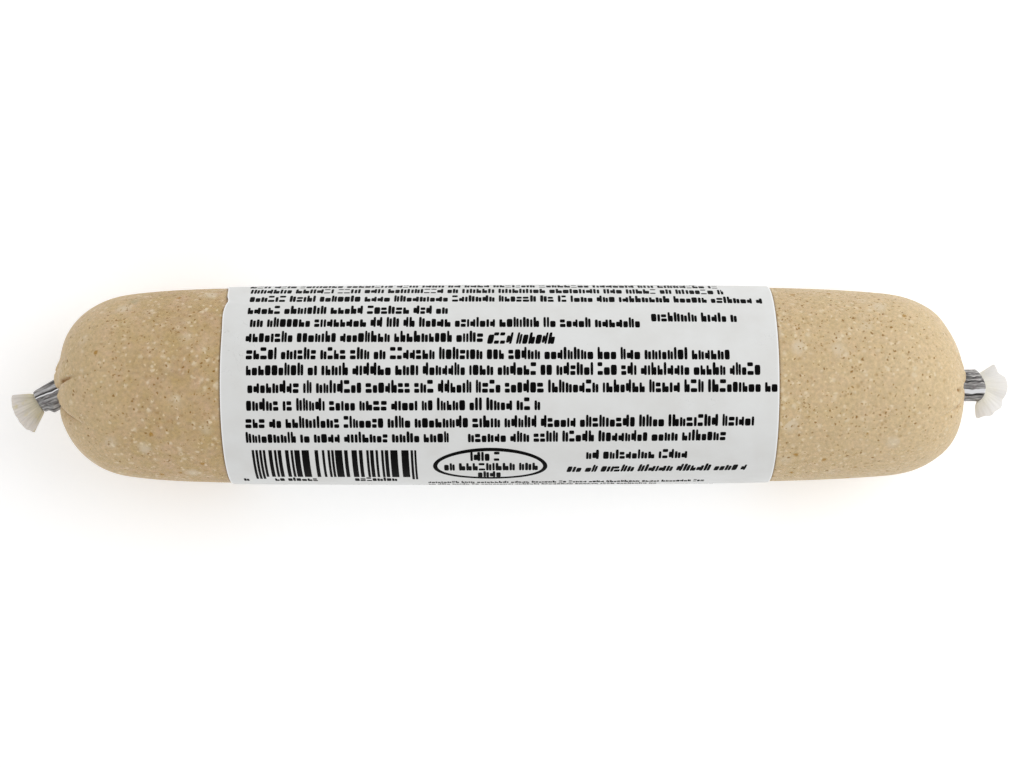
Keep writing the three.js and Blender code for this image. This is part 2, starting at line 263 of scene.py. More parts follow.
# The roll: roe paste inside a clear casing.
roll = {
    "radius": 19.8, "halfLength": 91.8, "film": 0.05,
    "directions": 440, "endRings": 100, "barrelRings": 6,
    "pitShare": 0.075, "crowding": 1.5,  # the first ring's share of the outline; rings crowd there
    "outlineSteps": 4000, "outlineCrowding": 3,  # steps that measure the outline, close at the pole
    "leastRadius": 0.2, "pitEdge": 0.6, "creaseRise": 1, "creaseFade": 0.5,
    "left": {
        "sign": -1, "pole": 90.3, "depth": 14, "faceBend": 3.75, "shoulderBend": 2.31,
        "drop": 5.7, "taper": 8, "lean": 0.45,
        "pit": {"y": -1.1, "depth": 0.9, "floor": 3.7, "rim": 5.4},
        "lobes": [  # direction, distance from the pit, reach, height
            (42, 5, 3.4, 1.2), (-10, 5.2, 2.8, 0.4), (118, 5, 3, 0.35), (176, 5, 3.4, 0.6),
            (-112, 5, 3, 0.3)],
        "creases": [  # direction at both ends, radii it runs between, depth, half-width
            (-3, 9, 3, 18, 1.2, 0.5), (-22, -26, 3, 8.5, 0.5, 0.35), (-34, -27, 5, 18.5, 1.0, 0.45),
            (46, 16, 4, 14.5, 0.4, 0.4), (92, 99, 4, 12, 0.6, 0.55), (146, 138, 4, 13, 0.7, 0.55),
            (-150, -158, 4, 12, 0.6, 0.55), (-92, -84, 4, 11, 0.5, 0.5)],
        "stains": [(1.5, 9.8, 0.8, 0.6), (5, 13, 0.5, 0.3)],  # direction, radius, reach, strength
    },
    "right": {
        "sign": 1, "pole": 91.3, "depth": 16.1, "faceBend": 2.92, "shoulderBend": 2.45,
        "drop": 3.8, "taper": 5.2, "lean": -1.1,
        "pit": {"y": -0.3, "depth": 0.7, "floor": 3.7, "rim": 5},
        "lobes": [
            (28, 4.8, 2.8, 0.5), (-30, 4.6, 2.4, 0.12), (-160, 5, 3, 0.3), (110, 5, 3, 0.25),
            (90, 14.5, 4, 0.38), (-90, 17.3, 4, 0.22)],
        "creases": [
            (1, 0, 3, 9.5, 1.0, 0.4), (-1, -1, 10.2, 12.6, 1.1, 0.3),
            (-12, -27, 6, 19, 0.55, 0.45),
            (40, 31, 5, 16, 0.4, 0.4), (84, 92, 4, 12, 0.5, 0.55),
            (137, 130, 4, 12, 0.6, 0.55), (-172, -178, 4, 13, 0.6, 0.55),
            (-118, -108, 4, 12, 0.55, 0.55)],
        "stains": [(-1, 10.8, 0.25, 0.8), (-1, 11.5, 0.27, 1.0), (-1, 12.2, 0.25, 0.8),
                   (-20, 11, 0.7, 0.3)],
    },
}

label = {
    "thickness": 0.12, "gap": 0.08, "left": -55.7, "right": 52.1,
    "seam": -125, "overlap": 20, "seamRise": 9, "seamGap": 0.05,
    "turnSteps": 400, "lengthSteps": 90,
    "strays": [(44, 8, -0.2), (56, 4.5, 0.45), (92, 17, -1.15)],  # direction, reach, by how much
    "pucker": {"at": 55, "reach": 6, "height": 0.18, "fade": 5},
    "fold": {"at": 52.5, "width": 1.3, "height": 0.09, "fade": 17},
    "waves": (0.025, 0.21, 5),  # height, radians a millimetre along, count round
    "swell": (0.2, 38),  # height and reach of the swelling round the middle
}
paperTop = label["gap"] + label["thickness"]


# Radius of the casing at a distance inwards from an end's pole: a slow barrel,
# R - drop * along^taper, times a rounded face, (1 - (1 - inwards / depth)^shoulder)^(1 / face).
def casingRadius(end, inwards):
    along = np.maximum(0, (end["pole"] - inwards) / roll["halfLength"])
    barrel = roll["radius"] - end["drop"] * along ** end["taper"]
    fromShoulder = np.maximum(0, 1 - inwards / end["depth"])
    return barrel * (1 - fromShoulder ** end["shoulderBend"]) ** (1 / end["faceBend"])


# The casing's radius at any x of the barrel.
def barrelRadius(x):
    left, right = [casingRadius(roll[side], roll[side]["pole"] - np.abs(x))
                   for side in ("left", "right")]
    return np.where(x < 0, left, right)


# How far an end's face stands out: bells for the swellings, less the pit, and for each crease a
# groove that falls off sideways as 1 / (1 + (sideways / width)^2). Also returns how brown each
# point is from the creases, by the same rule at half their width, and from the stains, by bells.
def faceRelief(end, radius, direction):
    pit = end["pit"]
    relief = -pit["depth"] * (1 - smoothStep(radius, pit["floor"], pit["rim"])) + 0 * direction
    outsidePit = smoothStep(radius, pit["floor"], pit["floor"] + roll["pitEdge"])
    for at, start, reach, height in end["lobes"]:
        sideways = 2 * start * np.sin(np.radians(turnBetween(direction, at) / 2))
        relief = relief + height * outsidePit * bell(radius - start, reach / 2) * bell(sideways, reach)
    fold = 0 * relief
    for at, to, start, reach, depth, width in end["creases"]:
        along = np.clip((radius - start) / (reach - start), 0, 1)
        sideways = radius * np.sin(np.radians(turnBetween(direction, between(at, to, along))))
        strength = smoothStep(radius, start - roll["creaseRise"], start + roll["creaseRise"])
        strength = strength * (1 - smoothStep(along, roll["creaseFade"], 1))
        strength = strength * (np.abs(turnBetween(direction, at)) < 90)
        relief = relief - depth * strength / (1 + (sideways / width) ** 2)
        fold = fold + depth * strength / (1 + (2 * sideways / width) ** 2)
    for at, distance, reach, strength in end["stains"]:
        sideways = 2 * distance * np.sin(np.radians(turnBetween(direction, at) / 2))
        fold = fold + strength * bell(np.hypot(radius - distance, sideways), reach)
    return relief, fold


# Points of the roll or its label: radius turned to a direction, flattened where the roll rests,
# at a height that inset raises.
def rollPoints(x, radius, centreY, direction, inset):
    angle = np.radians(direction)
    z = np.maximum(radius * np.cos(angle), paperTop + inset - axisHeight)
    return together(x, centreY + radius * np.sin(angle), axisHeight + z)


# Rings over one end. The outline is walked by arc length, relief is added along its normal,
# and inset moves the whole surface in.
def endRings(end, edgeX, direction, inset):
    length = end["pole"] - abs(edgeX)
    inwards = length * np.linspace(0, 1, roll["outlineSteps"]) ** roll["outlineCrowding"]
    outline = np.stack([inwards, casingRadius(end, inwards)])
    stepLength = np.hypot(*np.diff(outline))
    walked = np.concatenate([[0], np.cumsum(stepLength)])
    share = between(roll["pitShare"], 1, np.linspace(0, 1, roll["endRings"]) ** roll["crowding"])
    place = np.stack([np.interp(share * walked[-1], walked, line) for line in outline])
    tangent = np.stack([np.interp(share * walked[-1], walked[1:], line / stepLength)
                        for line in np.diff(outline)])
    inwards, radius = place[:, :, None]
    relief, fold = faceRelief(end, radius, direction)
    relief = relief - inset
    x = end["sign"] * (end["pole"] - inwards + relief * tangent[1][:, None])
    pit = end["pit"]
    centreY = between(pit["y"], end["lean"], smoothStep(radius, pit["floor"], 2 * pit["rim"]))
    centreY = centreY * (1 - smoothStep(radius, roll["radius"] / 2, roll["radius"]))
    reach = np.maximum(roll["leastRadius"], radius + relief * tangent[0][:, None])
    return rollPoints(x, reach, centreY, direction, inset), fold


# The left edge of the label at a direction: straight but for the bells of its strays.
def labelEdge(direction):
    return label["left"] + sum(by * bell(direction - at, reach)
                               for at, reach, by in label["strays"])


# The whole roll, from the left pit to the right one, how brown its folds are, and how far each
# point lies outside the label, which places a painted shadow beside its edges.
def rollGrid(inset):
    direction = np.linspace(0, 360, roll["directions"], endpoint=False)
    left, leftFold = endRings(roll["left"], label["left"], direction, inset)
    right, rightFold = endRings(roll["right"], label["right"], direction, inset)
    x = np.linspace(label["left"], label["right"], roll["barrelRings"] + 2)[1:-1, None]
    barrel = rollPoints(x, barrelRadius(x) - inset, 0, direction, inset)
    rings = np.concatenate([left, barrel, right[::-1]])
    fold = np.concatenate([leftFold, 0 * barrel[..., 0], rightFold[::-1]])
    beside = np.maximum(labelEdge(direction) - rings[..., 0], rings[..., 0] - label["right"])
    return rings, fold, beside


# Cooked roe paste, blended and set: a matt cream with fine pores, pale grains of roe, cloudy
# patches and a few brown flecks, browner where the casing folds it in.
# A painted shadow runs beside the label's edges.
paste = {
    "finish": {"Roughness": 0.55, "IOR": 1.4, "Specular IOR Level": 0.3,
               "Subsurface Weight": 0.12, "Subsurface Scale": 0.001,
               "Subsurface Radius": (1.0, 0.7, 0.45)},
    "base": "#b79c72",
    "clouds": [  # colour, size, most share
        ("#c7ae89", 8, 1.0), ("#c9a98c", 2.6, 0.6), ("#b99f6a", 3.38, 0.6)],
    "richer": ("#d5c09b", -60, 90, 0.6),  # colour towards +X, from, to, share
    "ends": ("#dcc6a0", 66, 88, 0.5),  # colour of the smooth ends
    "grain": 0.7, "grainDepth": 0.15,
    "stir": (0.9, 0.9),  # size and length of the swirls that bend the spots
    "spots": [  # spacing, radius, soft edge, share, colour, strength, size of clumps, if they crowd
        (13, 2.4, 2.3, 0.5, "#9f997d", 0.55, None, False),
        (6, 2.3, 2.2, 0.65, "#d8cab2", 0.8, None, False),
        (2.6, 0.8, 0.7, 0.7, "#e4d5b8", 0.6, None, False),
        (1.5, 0.5, 0.4, 0.85, "#ecdfc4", 0.55, 6, False),
        (0.9, 0.3, 0.22, 0.9, "#ecddb8", 0.55, 5, False),
        (1.6, 0.55, 0.5, 0.65, "#9e783a", 0.45, 7, False),
        (0.9, 0.26, 0.17, 0.95, "#95690c", 0.78, 8, True),
        (1.4, 0.31, 0.18, 0.75, "#855a00", 0.85, 10, True),
        (5.5, 0.7, 0.45, 0.7, "#a57712", 0.8, None, False),
    ],
    "above": (-12, 8, 0.55, 1.3),  # pores crowd towards +Y: from, to, their share at both
    "fold": ("#94600c", 0.2, 1.0, 0.8),  # colour in the creases, from, to, share
    "shade": ("#6e553a", 0.55, 0.0, 0.85),  # painted shadow beside the label's edges: colour, from, to, share
    "calm": (72, 90, 0.1),  # the spots thin out towards the ends
}


def roePasteMaterial():
    material, add = startMaterial("roePasteCooked")
    place = add("TexCoord").outputs["Object"]
    parts = add("SeparateXYZ", {"Vector": place})
    fromMiddle = add("Math", {0: parts.outputs["X"]}, operation="ABSOLUTE")

    # lays an entry's colour over another, growing as value runs from its start to its end
    def covered(colour, key, value, unit=1):
        over, start, end, most = paste[key]
        share = add("MapRange", {
            "Value": value, "From Min": start * unit, "From Max": end * unit, "To Max": most},
            interpolation_type="SMOOTHSTEP")
        return add("Mix", {0: share, 6: colour, 7: linear(over)}, data_type="RGBA")

    # the ground: clouds of other tones, then the drift along X and the pale ends
    colour = linear(paste["base"])
    for over, size, most in paste["clouds"]:
        cloud = add("TexNoise", {
            "Vector": place, "Scale": perSize(size), "Detail": 4.0, "Distortion": 0.4})
        share = add("MapRange", {"Value": cloud, "From Min": 0.36, "From Max": 0.64, "To Max": most})
        colour = add("Mix", {0: share, 6: colour, 7: linear(over)}, data_type="RGBA")
    colour = covered(colour, "richer", parts.outputs["X"], metresPerMm)
    colour = covered(colour, "ends", fromMiddle, metresPerMm)
    grain = add("TexNoise", {
        "Vector": place, "Scale": perSize(paste["grain"]), "Detail": 3.0, "Roughness": 0.65})
    level = add("MapRange", {
        "Value": grain, "From Min": 0.3, "From Max": 0.7,
        "To Min": 1 - paste["grainDepth"], "To Max": 1 + paste["grainDepth"]})
    colour = add("VectorMath", {0: colour, 1: level}, operation="MULTIPLY")

    # the spots: balls strewn through the paste, which the surface cuts, slightly stirred
    size, reach = paste["stir"]
    swirl = add("TexNoise", {"Vector": place, "Scale": perSize(size)})
    bend = add("VectorMath", {0: swirl.outputs["Color"], 1: (0.5, 0.5, 0.5)}, operation="SUBTRACT")
    stirred = add("VectorMath", {
        0: bend, 1: (reach * metresPerMm,) * 3, 2: place}, operation="MULTIPLY_ADD")
    start, end, least = paste["calm"]
    calm = add("MapRange", {
        "Value": fromMiddle, "From Min": start * metresPerMm, "From Max": end * metresPerMm,
        "To Min": 1.0, "To Max": least})
    start, end, least, most = paste["above"]
    above = add("MapRange", {
        "Value": parts.outputs["Y"], "From Min": start * metresPerMm, "From Max": end * metresPerMm,
        "To Min": least, "To Max": most})
    for cell, radius, soft, often, over, strength, clump, crowds in paste["spots"]:
        cells = add("TexVoronoi", {"Vector": stirred, "Scale": perSize(cell)})
        inside = add("MapRange", {
            "Value": cells.outputs["Distance"], "From Min": radius / cell,
            "From Max": (radius - soft) / cell, "To Max": strength},
            interpolation_type="SMOOTHSTEP")
        draw = add("SeparateColor", {"Color": cells.outputs["Color"]})
        share = add("Math", {0: calm, 1: often}, operation="MULTIPLY")
        if clump:
            cloud = add("TexNoise", {"Vector": place, "Scale": perSize(clump)})
            crowd = add("MapRange", {
                "Value": cloud, "From Min": 0.38, "From Max": 0.62, "To Min": 0.35, "To Max": 1.5})
            share = add("Math", {0: share, 1: crowd}, operation="MULTIPLY")
        if crowds:
            share = add("Math", {0: share, 1: above}, operation="MULTIPLY")
        chosen = add("Math", {0: draw.outputs["Red"], 1: share}, operation="LESS_THAN")
        amount = add("Math", {0: chosen, 1: inside}, operation="MULTIPLY")
        colour = add("Mix", {0: amount, 6: colour, 7: linear(over)}, data_type="RGBA")

    # fold browns the creases and stains; shade paints a shadow beside the label's edges
    for key in ("fold", "shade"):
        colour = covered(colour, key, add("Attribute", attribute_name=key).outputs["Fac"])
    bump = add("Bump", {"Height": grain, "Strength": 0.3, "Distance": 0.00008})
    finishMaterial(add, {**paste["finish"], "Base Color": colour, "Normal": bump})
    return material


# Clear casing, blown nylon film: nearly invisible, it adds a thin gloss and a slight haze.
casing = {
    "finish": {"Base Color": linear("#e6cf9f"), "Roughness": 0.22, "IOR": 1.52, "Alpha": 0.06},
    "ripple": 1.6,
}


def casingMaterial():
    material, add = startMaterial("casingFilmBlown")
    place = add("TexCoord").outputs["Object"]
    ripple = add("TexNoise", {"Vector": place, "Scale": perSize(casing["ripple"])})
    bump = add("Bump", {"Height": ripple, "Strength": 0.3, "Distance": 0.0001})
    finishMaterial(add, {**casing["finish"], "Normal": bump})
    return material


def buildRoll():
    rings, fold, beside = rollGrid(roll["film"])
    points, faces = roundSolid(rings)
    # the last two values are for the middles that close the ends
    # shade: distance from the label's edges, where a shadow is painted on the paste
    values = {"fold": [*fold.ravel(), 0, 0], "shade": [*np.abs(beside).ravel(), 9, 9]}
    roe = pieceFrom("roe_paste", points, faces, roePasteMaterial(), values=values)
    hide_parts("roe_roll")
    film = pieceFrom("casing_film", *roundSolid(rollGrid(0)[0]), casingMaterial())
    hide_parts("roe_roll")
    print("roll ready")


buildRoll()


# Points of the label at x and a direction, which runs on for more than a turn where the sheet
# laps: casing radius, climb over its own start, a pucker and a fold at the left edge, a slight
# swelling round the middle, and slow waves. lift moves a point off the casing.
def labelPoints(x, direction, lift):
    turned = direction - label["seam"]
    climb = label["thickness"] + label["seamGap"]
    climb = climb * smoothStep(turned, 360 - label["seamRise"], 360)
    fromEdge = x - label["left"]
    pucker, fold = label["pucker"], label["fold"]
    raised = pucker["height"] * bell(direction - pucker["at"], pucker["reach"])
    raised = raised * (1 - smoothStep(fromEdge, 0, pucker["fade"]))
    raised = raised + (fold["height"] * bell(direction - fold["at"], fold["width"])
                       * (1 - smoothStep(fromEdge, fold["fade"] / 3, fold["fade"])))
    height, along, around = label["waves"]
    waves = height * (1 + sway(x, along, 1) * sway(np.radians(direction), around, 2))
    height, reach = label["swell"]
    radius = barrelRadius(x) + lift + climb + raised + waves + height * bell(x, reach)
    return rollPoints(x, radius, 0, direction, -lift)


# Coated label paper, calendered and die cut: an even soft white with a faint fibre mottle, a
# few hair-fine scuffs, and a whiter line along its cut edges, a painted highlight.
paper = {
    "finish": {"Roughness": 0.5, "IOR": 1.45, "Specular IOR Level": 0.4},
    "tones": ("#dbdbd9", "#e0e1e0"), "mottle": 6,
    "fibre": 0.25,  # ten times as coarse as real fibres, which are too fine to show
    "scuff": {"colour": "#9a9a98", "size": 3.2, "width": 0.006, "patch": 14, "strength": 0.45},
    # colour and width of the painted highlight along the cut edges
    "highlightColour": "#fdfdfd", "edgeWidth": 0.35,
}


def paperMaterial():
    material, add = startMaterial("labelPaperCoated")
    place = add("TexCoord").outputs["Object"]
    mottle = add("TexNoise", {"Vector": place, "Scale": perSize(paper["mottle"]), "Detail": 5.0})
    level = add("MapRange", {"Value": mottle, "From Min": 0.35, "From Max": 0.65})
    colour = add("Mix", {
        0: level, 6: linear(paper["tones"][0]), 7: linear(paper["tones"][1])}, data_type="RGBA")
    # scuffs lie where one wandering noise crosses its middle, inside patches of another
    scuff = paper["scuff"]
    wander = add("TexNoise", {
        "Vector": place, "Scale": perSize(scuff["size"]), "Detail": 1.0, "Distortion": 2.5})
    fromMiddle = add("Math", {0: wander, 1: 0.5}, operation="SUBTRACT")
    distance = add("Math", {0: fromMiddle}, operation="ABSOLUTE")
    hair = add("MapRange", {
        "Value": distance, "From Min": scuff["width"], "From Max": 0.0,
        "To Max": scuff["strength"]})
    patches = add("TexNoise", {"Vector": place, "Scale": perSize(scuff["patch"]), "Detail": 4.0})
    patch = add("MapRange", {"Value": patches, "From Min": 0.6, "From Max": 0.66})
    amount = add("Math", {0: hair, 1: patch}, operation="MULTIPLY")
    # painted highlight along the cut edges
    rim = add("Attribute", attribute_name="paintedEdgeHighlight").outputs["Fac"]
    for share, over in ((amount, scuff["colour"]), (rim, paper["highlightColour"])):
        colour = add("Mix", {0: share, 6: colour, 7: linear(over)}, data_type="RGBA")
    fibre = add("TexNoise", {"Vector": place, "Scale": perSize(paper["fibre"])})
    bump = add("Bump", {"Height": fibre, "Strength": 0.15, "Distance": 0.00003})
    finishMaterial(add, {**paper["finish"], "Base Color": colour, "Normal": bump})
    return material


def buildLabel():
    direction = label["seam"] + np.linspace(0, 360 + label["overlap"], label["turnSteps"])[:, None]
    share = (1 - np.cos(np.pi * np.linspace(0, 1, label["lengthSteps"]))) / 2
    leftEdge = labelEdge(direction)
    x = between(leftEdge, label["right"], share)
    outer = labelPoints(x, direction, paperTop)
    inner = labelPoints(x, direction, label["gap"])
    fromRim = np.minimum(x - leftEdge, label["right"] - x)
    # the painted highlight along the cut edges, fading over edgeWidth
    paintedEdgeHighlight = 1 - smoothStep(fromRim, 0, paper["edgeWidth"])
    points, faces = slabSolid(outer, inner)
    piece = pieceFrom("paper_sheet", points, faces, paperMaterial(), sharpAbove=50,
                      values={"paintedEdgeHighlight": np.tile(paintedEdgeHighlight.ravel(), 2)})
    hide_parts("paper_label")
    print("label ready")


buildLabel()


# The print: rows of plain marks, a field of bars and an oval ring.
printing = {
    "seed": 11, "lift": 0.014, "sunk": 0.03,
    "markSteps": 6, "markRounding": 5, "barSteps": 14, "barRounding": 24, "rounded": 0.99,
    "tall": 2.5, "low": 1.9, "pitch": 1.46, "widths": (0.66, 0.9), "gap": 0.17,
    "wordMarks": (2, 10), "wordGap": 0.65, "squeeze": 0.0004,
    "strokeMost": (0.47, 0.43),  # of a mark's width and of its height
    "rows": [  # direction of a row, the two ends of a stretch of marks, its kind unless plain
        (129.2, -50.6, 12.4), (119.1, -50.9, 47.3), (109.0, -51.0, 49.8), (98.9, -50.8, 44.6),
        (88.0, -51.5, 38, "thin"), (78.0, -51.8, 41.7, "thin"), (67.6, -51.3, 42.5, "thin"),
        (57.0, -51.1, 50.3), (46.2, -51.1, -11.4), (36.8, -50.4, 25.9), (41.1, 27.7, 44.4),
        (27.2, -51.0, -4.8), (26.7, -4.3, 9.5, "tallSloped"), (17.2, -50.8, 43.2),
        (8.4, -50.7, 48.9), (-1.2, -50.4, 52.0), (-10.9, -50.7, 6.7), (-20.9, -51.0, 48.3),
        (-30.2, -51.1, -11.7), (-30.2, -8.0, 42.3), (-43.2, 15.0, 34.9),
        (-55.5, 11.2, 46.4, "sloped"), (-67.9, -52.8, -51.4, "digits"),
        (-67.9, -46.6, -37.6, "digits"), (-67.9, -30.7, -21.7, "digits"),
        (-43.6, -7.6, -1.6, "tall"), (-52.6, -12.8, 6.1, "tall"), (-60.6, -6.2, -1.6, "tall"),
        (-73.5, -16.2, 38.9, "tiny"), (-79.5, -16.2, 30.0, "tiny"), (-90.0, -50.9, 41.2, "small"),
        (-98.0, -50.9, 8.8, "small"),
    ],
    "kinds": {  # size, stroke, share of tall marks, lean
        "plain": (1, 0.8, 0.36, 0), "sloped": (1, 0.8, 0.36, 0.2), "thin": (1, 0.5, 1, 0),
        "tall": (1, 0.72, 1, 0), "tallSloped": (1, 0.72, 1, 0.2), "digits": (0.85, 0.8, 0.36, 0),
        "small": (0.8, 0.8, 0.36, 0), "tiny": (0.6, 0.8, 0.36, 0),
    },
    "bars": {"from": -50.2, "to": -18.1, "top": -38.9, "bottom": -64.6, "guard": -67.9,
             "module": 0.36, "least": 0.5, "guardModules": 4.5},
    "oval": {"x": -3.75, "at": -52.0, "halfWidth": 10.8, "halfHeight": 13.6, "line": 0.85,
             "steps": 120},
    "colours": ("#020202", "#1c1c1c"), "wear": 0.4,
    "finish": {"Roughness": 0.6, "IOR": 1.45, "Specular IOR Level": 0.06},
}
degreesPerMm = 360 / (2 * np.pi * labelRadius)


# Simple marks as (left, right, bottom, top) in a unit square, with how often each is drawn.
# s and h are a stroke's share of the width and of the height.
def markShapes(s, h):
    return [
        ([(0, 1, 0, h), (0, 0.9, 1 - h, 1)], 0.08),  # two dashes
        ([(0, 0.95, 0, h), (0.05, 1, 1 - h, 1)], 0.06),  # two dashes set over
        ([(0, s, 0, 1), (1 - s, 1, 0, 0.85)], 0.24),  # two posts
        ([(0, 0.9, 0, 0.8)], 0.22),  # block
        ([(0, s, 0, 1), (s * 0.9, 1, 0, 0.62)], 0.14),  # post with a block on its right
        ([(0, 1 - s * 0.9, 0.1, 0.72), (1 - s, 1, 0, 1)], 0.12),  # and on its left
        ([(0, s, 0, 1)], 0.14),  # post
    ]


# Strokes of a stretch of marks, in words of 2 to 9, each (left, right, low, high, row, lean). The
# rows draw together towards +X: direction * (1 - squeeze * x).
def rowStrokes(draw, at, start, end, kind="plain"):
    size, stroke, tallShare, lean = printing["kinds"][kind]
    stroke = stroke * size
    mostAcross, mostUp = printing["strokeMost"]
    bottom = -between(printing["low"], printing["tall"], tallShare) * size / 2
    x, strokes = start, []
    wordLeft = draw.integers(*printing["wordMarks"])
    while x < end - stroke:
        tall = tallShare == 1 or draw.random() < tallShare
        height = (printing["tall"] if tall else printing["low"]) * size
        width = min(printing["pitch"] * size * draw.uniform(*printing["widths"]), end - x)
        shapes = markShapes(min(mostAcross, stroke / width), min(mostUp, stroke / height))
        shape = shapes[draw.choice(len(shapes), p=[often for _, often in shapes])][0]
        for left, right, low, high in shape:
            strokes.append((x + left * width, x + right * width,
                            bottom + low * height, bottom + high * height,
                            at * (1 - printing["squeeze"] * x), lean))
        x += width * max(right for _, right, _, _ in shape) + printing["gap"] * size
        wordLeft -= 1
        if wordLeft == 0:
            x += printing["wordGap"] * size
            wordLeft = draw.integers(*printing["wordMarks"])
    return strokes


# Bars one to four modules wide between the two edges of their field, those at its ends thin
# and longer.
def barStrokes(draw):
    bars = printing["bars"]
    x, strokes = bars["from"], []
    while x < bars["to"]:
        outermost = min(x - bars["from"], bars["to"] - x) < bars["guardModules"] * bars["module"]
        modules = 1 if outermost else draw.choice([1, 1, 2, 2, 3, 4])
        low = bars["guard"] if outermost else bars["bottom"]
        half = (bars["top"] - low) / 2 / degreesPerMm
        width = max(bars["least"], bars["module"] * modules)
        strokes.append((x, min(x + width, bars["to"]), -half, half, (bars["top"] + low) / 2, 0))
        x += bars["module"] * (modules + (1 if outermost else draw.choice([1, 1, 2, 3])))
    return strokes


# Closed plates from strokes, bent with the label. A stroke is a grid two points wide, whose
# half-width at the height v, from -1 to 1, is w * (1 - |rounded * v|^n)^(1/n): this rounds its
# corners by n and leaves its ends some width. The same grid lies a little under the paper's face.
def strokePlates(strokes, steps, rounding):
    left, right, low, high, at, lean = np.array(strokes).T[:, :, None, None]
    v = -np.cos(np.pi * np.linspace(0, 1, steps + 1))[None, :, None]
    up = between(low, high, (v + 1) / 2)
    narrowed = (1 - np.abs(printing["rounded"] * v) ** rounding) ** (1 / rounding)
    side = np.array([-1, 1]) * narrowed
    x = between(left, right, (side + 1) / 2) + lean * (up - low)
    direction = at + up * degreesPerMm
    outer = labelPoints(x, direction, paperTop + printing["lift"])
    inner = labelPoints(x, direction, paperTop - printing["sunk"])
    count = (steps + 1) * 2
    _, faceSets = slabSolid(outer[0], inner[0])
    points = np.concatenate([outer.reshape(-1, count, 3), inner.reshape(-1, count, 3)], 1)
    offsets = np.arange(len(points))[:, None, None] * 2 * count
    return points.reshape(-1, 3), [(face[None] + offsets).reshape(-1, 4) for face in faceSets]


# The oval ring: an ellipse drawn with an even line, closed on itself.
def ovalRing():
    oval = printing["oval"]
    around = np.linspace(0, 2 * np.pi, oval["steps"], endpoint=False)[:, None]
    side = np.array([-1, 1]) * oval["line"] / 2
    x = oval["x"] + (oval["halfWidth"] + side) * np.cos(around)
    direction = oval["at"] + (oval["halfHeight"] + side * degreesPerMm) * np.sin(around)
    upper = labelPoints(x, direction, paperTop + printing["lift"])
    lower = labelPoints(x, direction, paperTop - printing["sunk"])
    loops = np.stack([upper[:, 0], upper[:, 1], lower[:, 1], lower[:, 0]], 1)
    quads = gridQuads(oval["steps"] + 1, 4, closed=True) % (oval["steps"] * 4)
    return loops.reshape(-1, 3), [quads]


# Black ink, printed by heat transfer: even and near black, a little thin in places.
def inkMaterial():
    material, add = startMaterial("inkPrinted")
    place = add("TexCoord").outputs["Object"]
    wear = add("TexNoise", {"Vector": place, "Scale": perSize(printing["wear"])})
    level = add("MapRange", {"Value": wear, "From Min": 0.55, "From Max": 0.8, "To Max": 0.3})
    colour = add("Mix", {
        0: level, 6: linear(printing["colours"][0]), 7: linear(printing["colours"][1])},
        data_type="RGBA")
    finishMaterial(add, {**printing["finish"], "Base Color": colour})
    return material


# Points and faces of several solids as one mesh's.
def joined(solids):
    starts = np.cumsum([0] + [len(points) for points, _ in solids])
    faces = [face + start for (_, sets), start in zip(solids, starts) for face in sets]
    return np.concatenate([points for points, _ in solids]), faces


def buildPrint():
    draw = np.random.default_rng(printing["seed"])
    marks = [stroke for row in printing["rows"] for stroke in rowStrokes(draw, *row)]
    bars = barStrokes(draw)
    points, faces = joined([
        strokePlates(marks, printing["markSteps"], printing["markRounding"]),
        strokePlates(bars, printing["barSteps"], printing["barRounding"]),
        ovalRing()])
    piece = pieceFrom("label_print", points, faces, inkMaterial(), sharpAbove=50)
    print(f"print ready: {len(marks)} strokes, {len(bars)} bars")


buildPrint()


bore = 1.2  # radius of the hole through a crimped clip
clearance = 0.3  # between film and bore, and between a clip and the floor of the pit
clips = {
    "left": {
        "end": roll["left"], "x": 95.2, "y": -3.1, "tilt": 30, "radius": 2.3,
        "bulges": [(-82, 50, 1.05), (160, 45, 0.5)],  # direction, reach, height
        "bow": (0, 0, 0),  # direction of the foremost point, fall-back, unevenness
        "seam": 20, "twist": -19,  # direction of the seam in front, its turn on the way in
        "ridges": [(60, 9, 0.1), (-90, 35, 0.25)],
        # grooves and dull strips, painted darker as shade and darker reflection: direction, reach,
        # depth, darkness; painted highlight bands: direction, reach, strength
        "scores": [(22, 1.9, 0.05, 0.9), (-6, 6, 0.06, 0.35), (-24, 5, 0.04, 0.25),
                   (-40, 6, 0.05, 0.35), (-62, 4, 0.07, 0.6), (66, 7, 0, 0.95)],
        "bright": [(13.5, 3.4, 1), (36, 9, 0.3), (-15, 6, 0.15), (-50, 7, 0.12)],
    },
    "right": {
        "end": roll["right"], "x": 95.8, "y": -0.3, "tilt": 0, "radius": 3.25,
        "bulges": [(180, 60, -0.3)],
        "bow": (-14, 1.05, 0.22),
        "seam": -37, "twist": 0,
        "ridges": [(53, 5, 0.12), (38, 5, 0.14), (22, 5, 0.12)],
        "scores": [(46, 2.3, 0.12, 0.85), (31, 2.3, 0.1, 0.85), (14.5, 2.3, 0.1, 0.9),
                   (2, 10, 0, 0.45), (-34.5, 2.2, 0.04, 0.9), (-52, 3, 0.05, 0.5),
                   (-75, 12, 0, 0.5)],
        "bright": [(-21.5, 9.5, 1)],
    },
}
strip = {
    "angleSteps": 250, "lengthSteps": 54, "slot": 4, "edgeRadius": 0.22, "edgeShare": 0.08,
    "swayTurn": 1.5, "swayBends": 7, "slimFrom": 0.1, "slimTo": 0.4, "twistReach": 80,
    "stray": 3.2, "strayBends": 9,
}


